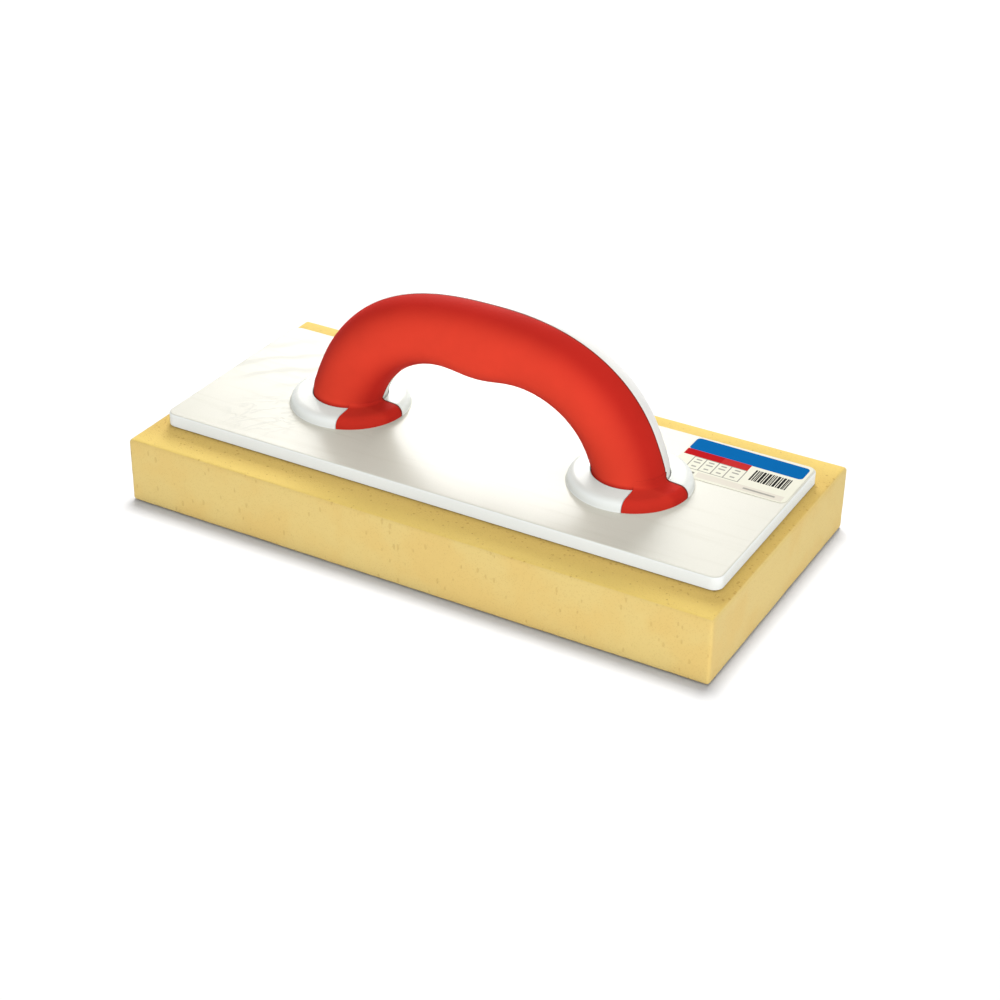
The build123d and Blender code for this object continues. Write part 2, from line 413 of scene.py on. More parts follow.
@dataclass(frozen=True)
class FlowMarkedPlastic:
    """Foamed plastic, off-white, with the swirls and streaks that the melt leaves on its skin, and painted
    light on its steep faces.
    """

    name: str = "flow_marked_plastic"
    body: Colour = (0.635, 0.62, 0.54)
    mark: Colour = (0.47, 0.465, 0.41)
    streak: Colour = (0.57, 0.55, 0.465)
    # Painted light: the colour of the steep faces, paler and cooler than the level top.
    rim: Colour = (0.89, 0.92, 0.90)
    collar: Colour = (0.76, 0.77, 0.73)
    roughness: float = 0.27
    gloss: float = 0.05
    streak_share: float = 0.45
    streak_draw: tuple[float, float, float] = (9.0, 190.0, 40.0)
    swirl_share: float = 0.42
    swirl_pitch: float = 14 * MM
    swirl_turn: float = 40.0
    swirl_reach: tuple[float, float] = (34 * MM, 56 * MM)
    swirl_start: tuple[float, float] = (-14 * MM, 2 * MM)
    crinkle_offset: tuple[float, float, float] = (11 * MM, -28 * MM, 0.0)
    crinkle_reach: tuple[float, float] = (10 * MM, 30 * MM)
    crinkle_draw: tuple[float, float, float] = (1.0, 0.4, 1.0)
    raised: tuple[float, float] = (0.3 * MM, 1.5 * MM)
    swirl_depth: float = 0.04 * MM
    grain_depth: float = 0.006 * MM

    def material(self, swirl_centre: Vector) -> Material:
        """Builds the material, with its swirls gathered about a point of the plate's face."""
        finish = Finish(self.name)
        tree = finish.tree
        grain = finish.group(moulded_grain(), Cloud_Scale=18.0)
        thin = span(tree, self.streaks(finish), 0.5, 0.72)
        swirl = self.swirls(finish, swirl_centre)
        base = blend_colours(tree, maths(tree, "MULTIPLY", thin, self.streak_share), self.body, self.streak)
        marked = blend_colours(tree, maths(tree, "MULTIPLY", swirl, self.swirl_share), base, self.mark)
        low, high = (swirl_centre.z + height for height in self.raised)
        face = blend_colours(tree, span(tree, finish.axis("Z"), low, high), marked, self.collar)
        # Painted light: the slab's sides and the collars' slopes take the paler, cooler rim colour.
        painted_side_light = span(tree, finish.upward(), 0.55, 0.985, 1.0, 0.0)
        uneven = span(tree, grain["Grain"], 0.2, 0.8, -0.04, 0.04)
        rough = maths(tree, "ADD", uneven, self.roughness)
        skin = finish.bump(grain["Grain"], self.grain_depth)
        finish.feed(
            Base_Color=blend_colours(tree, painted_side_light, face, self.rim),
            Roughness=maths(tree, "ADD", rough, maths(tree, "MULTIPLY", swirl, 0.08)),
            Normal=finish.bump(swirl, self.swirl_depth, 0.6, under=skin),
            Specular_IOR_Level=self.gloss,
        )
        return finish.material

    def streaks(self, finish: Finish) -> NodeSocket:
        """Long faint streaks that run along the plate."""
        drawn = finish.located("Mapping", Scale=self.streak_draw)[0]
        return finish.located("TexNoise", Vector=drawn, Scale=1.6, Detail=6.0, Roughness=0.62)["Fac"]

    def swirls(self, finish: Finish, centre: Vector) -> NodeSocket:
        """The marks of the melt about a point: long waves behind it, and short crinkles beside it."""
        tree = finish.tree
        turned = finish.located("Mapping", Rotation=(0.0, 0.0, math.radians(self.swirl_turn)))[0]
        wave_inputs = {"Scale": 0.314 / self.swirl_pitch, "Distortion": 5.0, "Detail": 2.0,
                       "Detail Scale": 1.4, "Detail Roughness": 0.6}
        waves = finish.located("TexWave", Vector=turned, **wave_inputs)["Fac"]
        start, full = (centre.y + offset for offset in self.swirl_start)
        rearward = span(tree, finish.axis("Y"), start, full)
        long_marks = maths(tree, "MULTIPLY", span(tree, waves, 0.62, 1.0), rearward)
        gathered = span(tree, finish.distance_from(centre), *self.swirl_reach, 1.0, 0.05)

        drawn = finish.located("Mapping", Vector=turned, Scale=self.crinkle_draw)[0]
        crinkle = finish.located("TexNoise", Vector=drawn, Scale=120.0, Detail=3.0, Distortion=1.5)
        from_ridge = maths(tree, "ABSOLUTE", maths(tree, "SUBTRACT", crinkle["Fac"], 0.5))
        ridges = span(tree, from_ridge, 0.0, 0.08, 1.0, 0.0)
        beside = finish.distance_from(centre + Vector(self.crinkle_offset))
        crinkled = span(tree, beside, *self.crinkle_reach, 1.0, 0.0)
        return maths(tree, "MAXIMUM", maths(tree, "MULTIPLY", long_marks, gathered),
                     maths(tree, "MULTIPLY", ridges, crinkled))


@dataclass(frozen=True)
class OpenFoam:
    """Cut polyurethane foam: pale yellow and finely porous, deeper and more pitted on its top skin, with
    painted shade on the top by the plate.
    """

    name: str = "open_foam"
    cut: Colour = (0.745, 0.565, 0.205)
    cut_warm: Colour = (0.745, 0.535, 0.18)
    # The top's colour by the plate, darkened by painted shade, and then its colour at the long edges.
    skin: Colour = (0.645, 0.44, 0.108)
    skin_edge: Colour = (0.775, 0.565, 0.145)
    pore: Colour = (0.45, 0.25, 0.045)
    blotch_scale: float = 38.0
    cell_scale: float = 1050.0
    cell_share: float = 0.14
    pit_spacing: float = 1.9 * MM
    pit_stretch: float = 2.3
    pit_share_side: float = 0.22
    pit_share_top: float = 0.55
    speck_spacing: float = 1.15 * MM
    speck_share: float = 0.34
    pore_depth: float = 0.35 * MM
    bounce_saturation: float = 0.28

    def material(self, covered: float, edge: float) -> Material:
        """Builds the material.

        Args:
            covered: How far from the middle the plate covers the top, across the block.
            edge: How far from the middle the block's long edges are.
        """
        finish = Finish(self.name)
        tree = finish.tree
        blotch = finish.located("TexNoise", Scale=self.blotch_scale, Detail=3.0)["Fac"]
        side = blend_colours(tree, span(tree, blotch, 0.38, 0.62), self.cut, self.cut_warm)
        upward = span(tree, finish.upward(), 0.75, 0.99)
        # Painted shade: the top darkens from its long edges in towards the plate.
        outward = span(tree, maths(tree, "ABSOLUTE", finish.axis("Y")), covered, edge)
        top = blend_colours(tree, outward, self.skin, self.skin_edge)
        body = blend_colours(tree, upward, side, top)
        cells = finish.located("TexVoronoi", Scale=self.cell_scale)["Distance"]
        cell = span(tree, cells, 0.12, 0.42, 1.0, 0.0)
        fine = blend_colours(tree, maths(tree, "MULTIPLY", cell, self.cell_share), body, self.pore)
        pit = self.pits(finish, upward, outward)
        pit_share = span(tree, upward, 0.0, 1.0, self.pit_share_side, self.pit_share_top)
        share = maths(tree, "MAXIMUM", maths(tree, "MULTIPLY", pit, pit_share),
                      self.specks(finish, upward, outward))
        depth = maths(tree, "ADD", maths(tree, "MULTIPLY", cell, -0.3), maths(tree, "MULTIPLY", pit, -0.7))
        finish.feed(
            Base_Color=finish.calmed(blend_colours(tree, share, fine, self.pore), self.bounce_saturation),
            Roughness=span(tree, blotch, 0.3, 0.7, 0.88, 0.98),
            Normal=finish.bump(depth, self.pore_depth, 0.6),
            Specular_IOR_Level=0.12,
            Sheen_Weight=0.1,
            Sheen_Roughness=0.6,
        )
        return finish.material

    def pits(self, finish: Finish, upward: NodeSocket, outward: NodeSocket) -> NodeSocket:
        """The large pores, drawn out upwards: few and wide on the sides, many and small on the top."""
        tree = finish.tree
        rate = 1 / self.pit_spacing
        stretched = finish.located("Mapping", Scale=(rate, rate, rate / self.pit_stretch))[0]
        pores = finish.located("TexVoronoi", Vector=stretched, Scale=1.0)
        chance = place(tree, "ShaderNodeSeparateColor", {"Color": pores["Color"]}).outputs["Red"]
        top_rarity = maths(tree, "MULTIPLY", upward, span(tree, outward, 0.0, 1.0, 0.1, 0.45))
        rarity = maths(tree, "ADD", span(tree, upward, 0.0, 1.0, 0.72, 0.0), top_rarity)
        excess = maths(tree, "MAXIMUM", maths(tree, "SUBTRACT", chance, rarity), 0.0)
        reach = maths(tree, "MULTIPLY", excess, span(tree, upward, 0.0, 1.0, 1.3, 0.38))
        return span(tree, maths(tree, "SUBTRACT", pores["Distance"], reach), -0.03, 0.02, 1.0, 0.0)

    def specks(self, finish: Finish, upward: NodeSocket, outward: NodeSocket) -> NodeSocket:
        """The share of the small dark specks on the top, which thin out away from the plate."""
        tree = finish.tree
        dots = finish.located("TexVoronoi", Scale=1 / self.speck_spacing)["Distance"]
        inward = maths(tree, "MULTIPLY", upward, span(tree, outward, 0.0, 0.8, self.speck_share, 0.0))
        return maths(tree, "MULTIPLY", span(tree, dots, 0.12, 0.26, 1.0, 0.0), inward)


@dataclass(frozen=True)
class PrintedLabel:
    """A paper sticker with a blue header, a red band, outlined boxes and a row of plain bars."""

    name: str = "printed_label"
    paper: Colour = (0.77, 0.755, 0.64)
    blue: Colour = (0.004, 0.122, 0.37)
    red: Colour = (0.45, 0.012, 0.016)
    red_end: Colour = (0.50, 0.03, 0.03)
    line: Colour = (0.26, 0.25, 0.22)
    mark: Colour = (0.36, 0.35, 0.31)
    ink: Colour = (0.02, 0.02, 0.02)
    strip: Colour = (0.70, 0.655, 0.565)
    skew: float = 0.02
    columns: tuple[float, ...] = (6.0, 11.7, 17.5, 23.3, 30.2)
    frame_rows: tuple[float, float] = (16.4, 27.2)
    frame_width: float = 0.4
    dashes: tuple[tuple[float, float], ...] = ((18.6, 1.3), (21.0, 1.6), (24.6, 1.1))
    dash_corner: float = 0.3
    bar_box: tuple[float, ...] = (33.6, 50.3, 13.6, 23.0)
    bar_beats: tuple[float, float] = (1.34, 0.83)
    bar_level: float = -0.4

    def blocks(self) -> tuple[tuple[Colour, tuple[float, ...]], ...]:
        """The plain blocks of colour, each with its box and its corner, in millimetres."""
        return (
            (self.strip, (13.0, 52.6, 28.2, 32.6)), (self.blue, (0.5, 53.3, 0.9, 11.4, 2.0)),
            (self.red, (0.5, 30.4, 11.2, 16.4)), (self.red_end, (17.9, 30.4, 11.2, 16.4)),
            (self.mark, (34.5, 49.0, 29.8, 31.0, 0.3)), (self.line, (9.3, 11.9, 29.2, 30.8, 0.7)),
        )

    def material(self, low: Vector, high: Vector) -> Material:
        """Builds the material for a label that lies between two corners."""
        finish = Finish(self.name)
        tree = finish.tree
        from_end = maths(tree, "SUBTRACT", finish.axis("X"), low.x)
        square = maths(tree, "SUBTRACT", high.y, finish.axis("Y"))
        from_back = maths(tree, "SUBTRACT", square, maths(tree, "MULTIPLY", from_end, self.skew))

        def box(x0: float, x1: float, y0: float, y1: float, corner: float = 0.0) -> NodeSocket:
            """Ink of a box given in millimetres from the label's low-X end and its back edge."""
            return finish.group(printed_box(), X=from_end, Y=from_back, Centre_X=(x0 + x1) / 2 * MM,
                                Centre_Y=(y0 + y1) / 2 * MM, Half_X=(x1 - x0) / 2 * MM,
                                Half_Y=(y1 - y0) / 2 * MM, Corner=corner * MM)["Ink"]

        colour = self.paper
        for ink, limits in self.blocks():
            colour = blend_colours(tree, box(*limits), colour, ink)
        (y0, y1), width = self.frame_rows, self.frame_width
        for x0, right in zip(self.columns, self.columns[1:]):
            x1 = right + width
            inside = box(x0 + width, x1 - width, y0 + width, y1 - width)
            outline = maths(tree, "SUBTRACT", box(x0, x1, y0, y1), inside)
            colour = blend_colours(tree, outline, colour, self.line)
            middle = (x0 + x1) / 2
            for level, half in self.dashes:
                dash = box(middle - half, middle + half, level - 0.5, level + 0.5, self.dash_corner)
                colour = blend_colours(tree, dash, colour, self.mark)

        beats = [maths(tree, "SINE", maths(tree, "MULTIPLY", from_end, math.tau / (beat * MM)))
                 for beat in self.bar_beats]
        dark = maths(tree, "GREATER_THAN", maths(tree, "ADD", *beats), self.bar_level)
        bars = maths(tree, "MULTIPLY", dark, box(*self.bar_box))
        colour = blend_colours(tree, bars, colour, self.ink)

        fibre = finish.group(moulded_grain(), Grain_Scale=1500.0, Cloud_Scale=120.0)
        paper_tone = blend_colours(tree, 1.0, colour, (0.95, 0.95, 0.94), "MULTIPLY")
        finish.feed(
            Base_Color=blend_colours(tree, fibre["Cloud"], paper_tone, colour),
            Roughness=span(tree, fibre["Grain"], 0.2, 0.8, 0.5, 0.62),
            Normal=finish.bump(fibre["Grain"], 0.004 * MM),
            Specular_IOR_Level=0.0,
        )
        return finish.material


@dataclass(frozen=True)
class CloudyFilm:
    """Hot-melt adhesive: milky, glossy and uneven."""

    name: str = "adhesive_film"
    thin: Colour = (0.80, 0.78, 0.62)
    thick: Colour = (0.70, 0.66, 0.48)

    def material(self) -> Material:
        """Builds the material."""
        finish = Finish(self.name)
        spread = finish.group(moulded_grain(), Grain_Scale=400.0, Cloud_Scale=90.0)
        finish.feed(
            Base_Color=blend_colours(finish.tree, spread["Cloud"], self.thin, self.thick),
            Roughness=span(finish.tree, spread["Cloud"], 0.3, 0.7, 0.18, 0.34),
            Normal=finish.bump(spread["Grain"], 0.05 * MM),
        )
        return finish.material


@dataclass(frozen=True)
class ZincPlate:
    """Bright zinc over steel, with faint clouding."""

    name: str = "zinc_plate"
    bright: Colour = (0.66, 0.66, 0.64)
    dull: Colour = (0.50, 0.50, 0.49)

    def material(self) -> Material:
        """Builds the material."""
        finish = Finish(self.name)
        wear = finish.group(moulded_grain(), Grain_Scale=1800.0, Cloud_Scale=300.0)
        finish.feed(
            Base_Color=blend_colours(finish.tree, wear["Cloud"], self.bright, self.dull),
            Roughness=span(finish.tree, wear["Grain"], 0.2, 0.8, 0.26, 0.42),
            Normal=finish.bump(wear["Grain"], 0.005 * MM),
            Metallic=1.0,
        )
        return finish.material


# The deeper colours of both halves are painted shade, by the parting line and on the lugs.
RED_GRIP = MouldedPlastic(
    "red_grip", body=(0.79, 0.058, 0.030), painted_shade=(0.53, 0.023, 0.015), shade_near=7.5 * MM,
    shade_far=17.5 * MM, roughness=0.6, gloss=0.015, seam_shade_share=0.8, bounce_saturation=0.1,
)
WHITE_BODY = MouldedPlastic(
    "white_body", body=(0.88, 0.87, 0.84), painted_shade=(0.86, 0.85, 0.81), shade_near=1 * MM,
    shade_far=5 * MM, roughness=0.42, gloss=0.1,
)


# ---- foam block


@dataclass
class FoamBlock:
    """The sponge: a slab of cut foam with soft edges and a slightly uneven face."""

    edge_radius: float = 1.7 * MM
    pitch: float = 1.5 * MM
    wave: float = 0.22 * MM
    wave_length: float = 22 * MM
    ripple: float = 0.16 * MM
    ripple_length: float = 4.5 * MM
    top_calm: float = 0.8

    def build(self) -> Object:
        """Builds the block in the space of its CAD solid."""
        bm = box_mesh(*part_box("sponge_pad"))
        round_edges(bm, bm.edges[:], self.edge_radius, 4)
        for axis in range(3):
            self.cut_across(bm, axis)
        self.unsettle(bm)
        return finished("foam_block", bm, smooth_angle=180.0)

    def cut_across(self, bm: BMesh, axis: int) -> None:
        """Divides every long edge that runs along an axis, so that the faces come near the pitch."""
        long_edges = []
        for edge in bm.edges:
            run = edge.verts[1].co - edge.verts[0].co
            if run.length > 2 * self.pitch and abs(run[axis]) > 0.999 * run.length:
                long_edges.append(edge)
        cuts = round(long_edges[0].calc_length() / self.pitch) - 1
        bmesh.ops.subdivide_edges(bm, edges=long_edges, cuts=cuts, use_grid_fill=True)

    def unsettle(self, bm: BMesh) -> None:
        """Draws each point a little way in, by a long wave and a short ripple."""
        bm.normal_update()
        for vert in bm.verts:
            wave = 0.5 + 0.5 * noise.noise(vert.co / self.wave_length)
            ripple = 0.5 + 0.5 * noise.noise(vert.co / self.ripple_length)
            on_top = max(0.0, vert.normal.z)
            vert.co -= vert.normal * (self.wave * wave + self.ripple * ripple) * (1 - self.top_calm * on_top)

    def dress(self, piece: Object) -> None:
        """Gives the block its foam and its body, and hides its CAD solid."""
        cover(piece, OpenFoam().material(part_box("backing_plate")[1].y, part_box("sponge_pad")[1].y))
        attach(piece, BODY)
        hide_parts("sponge_pad")


# ---- feet, shared by plate and handle


@dataclass(frozen=True)
class Foot:
    """The ring at the foot of each leg, part of it moulded on the plate and part on the handle."""

    leg_x: float
    outer_radius: float
    plate_top: float
    spigot_radius: float = 16.5 * MM
    bore_gap: float = 0.4 * MM
    height: float = 5.6 * MM
    slope: float = 0.9 * MM
    rim_radius: float = 3.6 * MM
    lug_start: float = 8.4 * MM
    lug_gap: float = 0.3 * MM
    root_fillet: float = 1.8 * MM
    base_fillet: float = 0.7 * MM
    bore_rounding: float = 0.3 * MM
    sunk: float = 0.6 * MM
    base_lip: float = 0.02 * MM
    lug_lean: float = 0.15 * MM
    collar_start: float = -8.0
    collar_sweep: float = 135.0
    lug_turn_start: float = -98.0
    lug_sweep: float = 106.0
    sector_steps: int = 48

    def collar_sector(self) -> BMesh:
        """The part of the ring that the plate carries behind the leg, about the leg's axis."""
        bm = bmesh.new()
        bore, rim = self.spigot_radius + self.bore_gap, self.height - self.slope
        profile = [
            (bore, -self.sunk), (self.outer_radius + self.base_fillet, -self.sunk),
            (self.outer_radius + self.base_fillet, self.base_lip), (self.outer_radius, self.base_lip),
            (self.outer_radius, rim), (bore, self.height),
        ]
        rounding = {3: self.base_fillet, 4: self.rim_radius, 5: self.bore_rounding}
        spun_solid(bm, profile, rounding, self.collar_start, self.collar_sweep, self.sector_steps)
        keep_side(bm, Vector((0, self.lug_gap, 0)), Vector((0, -1, 0)))
        keep_side(bm, Vector((-self.lug_start + self.lug_gap, 0, 0)), Vector((-1, 0, 0)))
        return bm

    def lug_sector(self, inner_radius: float) -> BMesh:
        """The part of the ring that the front half of the handle carries, about the leg's axis.

        Args:
            inner_radius: How far into the leg's wall it reaches.
        """
        bm = bmesh.new()
        rim, rise = self.height - self.slope, self.height + 2 * self.root_fillet
        profile = [
            (inner_radius, 0.0), (self.outer_radius, 0.0), (self.outer_radius, rim),
            (self.spigot_radius, self.height), (self.spigot_radius - self.lug_lean, rise),
            (inner_radius, rise),
        ]
        rounding = {2: self.rim_radius, 3: self.root_fillet}
        spun_solid(bm, profile, rounding, self.lug_turn_start, self.lug_sweep, self.sector_steps)
        keep_side(bm, Vector((0, 0, 0)), Vector((0, 1, 0)))
        keep_side(bm, Vector((self.lug_start, 0, 0)), Vector((-1, 0, 0)))
        return bm


# ---- backing plate


@dataclass
class BackingPlate:
    """The stiff plate over the foam, with its two rings and its screw holes."""

    foot: Foot
    corner_radius: float = 4.5 * MM
    edge_radius: float = 0.8 * MM
    hole_radius: float = 2.25 * MM
    counterbore_radius: float = 4.05 * MM
    counterbore_depth: float = 2.8 * MM
    smooth_angle: float = 38.0
    swirl_place: float = 0.78

    def build(self) -> Object:
        """Builds the plate in one piece."""
        low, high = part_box("backing_plate")
        slab = self.slab(low, Vector((*high.xy, self.foot.plate_top)))
        bm = bmesh.new()
        bm.from_mesh(slab)
        bpy.data.meshes.remove(slab)
        for side in (-1, 1):
            for turn in (0, 180):
                where = Matrix.Translation((side * self.foot.leg_x, 0, self.foot.plate_top))
                join_into(bm, self.foot.collar_sector(), where @ Matrix.Rotation(math.radians(turn), 4, "Z"))
        piece = finished("backing_plate_moulding", bm, self.smooth_angle)
        weighted = piece.modifiers.new("even_normals", "WEIGHTED_NORMAL")
        weighted.keep_sharp = True
        return piece

    def slab(self, low: Vector, high: Vector) -> Mesh:
        """The rounded slab with its four screw holes, as a mesh."""
        bm = box_mesh(low, high)
        upright = [e for e in bm.edges if abs(e.verts[0].co.z - e.verts[1].co.z) > (high.z - low.z) / 2]
        round_edges(bm, upright, self.corner_radius, 10)
        for level, radius in ((high.z, self.edge_radius), (low.z, self.edge_radius / 2)):
            rim = [e for e in bm.edges if all(abs(v.co.z - level) < 1e-6 for v in e.verts)]
            round_edges(bm, rim, radius, 3)
        body = finished("slab", bm, self.smooth_angle)
        cutter = finished("slab_cutter", self.hole_cutters(low.z), self.smooth_angle)
        cut = body.modifiers.new("holes", "BOOLEAN")
        cut.object, cut.operation, cut.solver = cutter, "DIFFERENCE", "EXACT"
        mesh = bpy.data.meshes.new_from_object(body.evaluated_get(bpy.context.evaluated_depsgraph_get()))
        for spare in (body, cutter):
            bpy.data.objects.remove(spare)
        return mesh

    def hole_cutters(self, base: float) -> BMesh:
        """The four stepped plugs that cut the screw holes from below."""
        over = 1 * MM
        through = self.foot.plate_top - base + 2 * over
        offset = abs(sum(corner.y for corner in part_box("handle_screw_1")) / 2)
        cutters = bmesh.new()
        for leg in (-self.foot.leg_x, self.foot.leg_x):
            for side in (-offset, offset):
                plug = self.stepped_plug(self.counterbore_depth + over, through)
                join_into(cutters, plug, Matrix.Translation((leg, side, base - over)))
        return cutters

    def stepped_plug(self, step: float, top: float) -> BMesh:
        """A plug that stands on its wide end.

        Args:
            step: The height where it narrows from the counterbore to the hole.
            top: Its whole height.
        """
        bm = bmesh.new()
        bmesh.ops.create_circle(bm, cap_ends=True, segments=32, radius=self.counterbore_radius)
        cap = self.raised_cap(bm, bm.faces[:][0], step)
        shelf = self.counterbore_radius - self.hole_radius
        bmesh.ops.inset_region(bm, faces=[cap], thickness=shelf, use_even_offset=True)
        self.raised_cap(bm, cap, top - step)
        bmesh.ops.recalc_face_normals(bm, faces=bm.faces[:])
        return bm

    @staticmethod
    def raised_cap(bm: BMesh, cap: BMFace, rise: float) -> BMFace:
        """Extrudes a face upwards, and returns the face at the top."""
        grown = bmesh.ops.extrude_face_region(bm, geom=[cap, *cap.edges])["geom"]
        raised = [g for g in grown if isinstance(g, BMVert)]
        bmesh.ops.translate(bm, vec=(0, 0, rise), verts=raised)
        return next(g for g in grown if isinstance(g, BMFace))

    def dress(self, piece: Object) -> None:
        """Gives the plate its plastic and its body."""
        low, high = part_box("backing_plate")
        swirl_centre = Vector((low.x * self.swirl_place, (low.y + high.y) / 2, self.foot.plate_top))
        cover(piece, FlowMarkedPlastic().material(swirl_centre))
        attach(piece, BODY)
        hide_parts("backing_plate")


# ---- handle


@dataclass
class HandleShell:
    """One half of the hollow arched handle, with a lug at each foot."""

    half: Half
    foot: Foot
    crown_height: float = 49.7 * MM
    arch_sink: float = 17.3 * MM
    arch_fullness: float = 2.5
    leg_radius: float = 16.1 * MM
    crown_thinning: float = 0.75 * MM
    grip_fullness: float = 2.0 * MM
    grip_spread: float = 25 * MM
    finger_swell: float = 3.3 * MM
    swell_spread: float = 16 * MM
    foot_height: float = 5.0 * MM
    bend_height: float = 15 * MM
    step_height: float = 9 * MM
    step_blend: float = 2 * MM
    wall: float = 2.8 * MM
    parting_chamfer: float = 0.3 * MM
    ring_segments: int = 80
    arch_steps: int = 56
    bend_steps: int = 8

    def centreline(self) -> list[Vector]:
        """Points of the arch's centreline, from the crown down to the plate on +X."""
        reach, rise = 2 / self.arch_fullness, self.crown_height + self.arch_sink

        def angle_at(height: float) -> float:
            """The superellipse's angle where it is at a height over the plate."""
            return math.acos(((height + self.arch_sink) / rise) ** (1 / reach))

        half_span = self.foot.leg_x / math.sin(angle_at(self.foot_height)) ** reach
        base = self.foot.plate_top - self.arch_sink

        def on_arch(angle: float) -> Vector:
            """The superellipse's point at an angle."""
            return Vector((half_span * math.sin(angle) ** reach, 0, base + rise * math.cos(angle) ** reach))

        last = angle_at(self.bend_height)
        line = [on_arch(last * step / self.arch_steps) for step in range(self.arch_steps + 1)]
        lean = (line[-1] - on_arch(last - 1e-4)).normalized()
        foot = Vector((self.foot.leg_x, 0, self.foot.plate_top + self.foot_height))
        reach_down = (line[-1] - foot).length / 3
        bend = geometry.interpolate_bezier(line[-1], line[-1] + lean * reach_down,
                                           foot + Vector((0, 0, reach_down)), foot, self.bend_steps + 1)
        return line + bend[1:] + [foot - Vector((0, 0, self.foot_height))]

    def section(self, point: Vector, along: Vector, inset: float) -> Matrix:
        """The matrix that takes a unit circle to the grip's section at a point of the centreline.

        Args:
            point: The point.
            along: The centreline's direction there.
            inset: How far the section lies under the grip's surface.
        """
        height = point.z - self.foot.plate_top
        step = self.foot.spigot_radius - self.leg_radius
        flare = step * min(1.0, max(0.0, (self.step_height - height) / self.step_blend))
        swell = self.finger_swell * math.exp(-((point.x / self.swell_spread) ** 2))
        tall = self.leg_radius + flare - self.crown_thinning * (height / self.crown_height) ** 2
        wide = self.leg_radius + flare + self.grip_fullness * math.exp(-((point.x / self.grip_spread) ** 2))
        outward = Vector((-along.z, 0, along.x))
        centre = point - outward * (swell / 2)
        frame_axes = Matrix((outward * (tall + swell / 2 - inset), Vector((0, 1, 0)) * (wide - inset), along))
        return Matrix.Translation(centre) @ frame_axes.transposed().to_4x4()

    def sections(self, inset: float) -> list[Matrix]:
        """The sections from the foot on -X over the crown to the foot on +X."""
        right = self.centreline()
        left = [Vector((-p.x, 0, p.z)) for p in reversed(right[1:])]
        line = left + right
        made = []
        for index, point in enumerate(line):
            before, after = line[max(index - 1, 0)], line[min(index + 1, len(line) - 1)]
            made.append(self.section(point, (after - before).normalized(), inset))
        return made

    def half_tube(self, bm: BMesh, inset: float) -> list[BMEdge]:
        """Adds the front half of the arch's skin, and returns its boundary edges."""
        made = bmesh.ops.create_circle(bm, segments=self.ring_segments, radius=1.0)["verts"]
        rear = [v for v in made if v.co.y > 1e-4]
        bmesh.ops.delete(bm, geom=rear, context="VERTS")
        arc = [v for v in made if v.is_valid]
        sections = self.sections(inset)
        bmesh.ops.transform(bm, matrix=sections[0], verts=arc)
        edges = list(dict.fromkeys(e for v in arc for e in v.link_edges))
        for before, after in zip(sections, sections[1:]):
            grown = bmesh.ops.extrude_edge_only(bm, edges=edges)["geom"]
            moved = [g for g in grown if isinstance(g, BMVert)]
            edges = [g for g in grown if isinstance(g, BMEdge)]
            bmesh.ops.transform(bm, matrix=after @ before.inverted(), verts=moved)
        return [e for e in bm.edges if e.is_boundary]

    def build(self) -> Object:
        """Builds the half."""
        bm = bmesh.new()
        outer = self.half_tube(bm, 0.0)
        both = self.half_tube(bm, self.wall)
        bmesh.ops.bridge_loops(bm, edges=both)
        bmesh.ops.recalc_face_normals(bm, faces=bm.faces[:])
        base = self.foot.plate_top + 1e-6
        parting = [e for e in outer if any(v.co.z > base for v in e.verts)]
        round_edges(bm, parting, self.parting_chamfer, 2)
        for leg in (-self.foot.leg_x, self.foot.leg_x):
            lug = self.foot.lug_sector(self.foot.spigot_radius - self.wall / 2)
            join_into(bm, lug, Matrix.Translation((leg, 0, self.foot.plate_top)))
        bm.transform(Matrix.Rotation(math.radians(self.half.value), 4, "Z"))
        return finished(f"handle_{self.half.name.lower()}_grip", bm, smooth_angle=40.0)

    def dress(self, piece: Object) -> None:
        """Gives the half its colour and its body."""
        front = self.half is Half.FRONT
        foot_top = self.foot.plate_top + self.foot.height
        cover(piece, (RED_GRIP if front else WHITE_BODY).material(foot_top))
        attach(piece, BODY)
        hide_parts("handle_front_shell" if front else "handle_rear_shell")


# ---- pieces that keep their CAD shape


@dataclass
class KeptPieces:
    """The label, the adhesive film and the screws, whose shapes are already right."""

    screws: int = 4

    def dress(self) -> list[Object]:
        """Gives each its finish, and returns them."""
        finishes = {"label": PrintedLabel().material(*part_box("label")), "glue_layer": CloudyFilm().material()}
        zinc = ZincPlate().material()
        for number in range(1, self.screws + 1):
            finishes[f"handle_screw_{number}"] = zinc
        pieces = []
        for name, material in finishes.items():
            cover(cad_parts[name], material)
            pieces.append(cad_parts[name])
        return pieces


# ---- studio


@dataclass(frozen=True)
class Lamp:
    """A square soft light that faces the object."""

    name: str
    azimuth: float
    elevation: float
    away: float
    size: float
    power: float
    lit: Lit
    gloss_only: bool = False

    def build(self, back: Vector, floor: Object) -> None:
        """Adds the light on its side of the object.

        Args:
            back: The direction from the object towards the lamp.
            floor: The floor, which lamps for the pieces pass over and a lamp for the floor lights alone.
        """
        data = bpy.data.lights.new(self.name, "AREA")
        data.size, data.energy = self.size, self.power
        lamp = bpy.data.objects.new(self.name, data)
        lamp.location = back * self.away
        lamp.rotation_euler = back.to_track_quat("Z", "Y").to_euler()
        lamp.visible_diffuse = not self.gloss_only
        bpy.context.scene.collection.objects.link(lamp)
        receivers = bpy.data.collections.new(f"{self.name}_receivers")
        receivers.objects.link(floor)
        state = "INCLUDE" if self.lit is Lit.FLOOR else "EXCLUDE"
        receivers.collection_objects[0].light_linking.link_state = state
        lamp.light_linking.receiver_collection = receivers


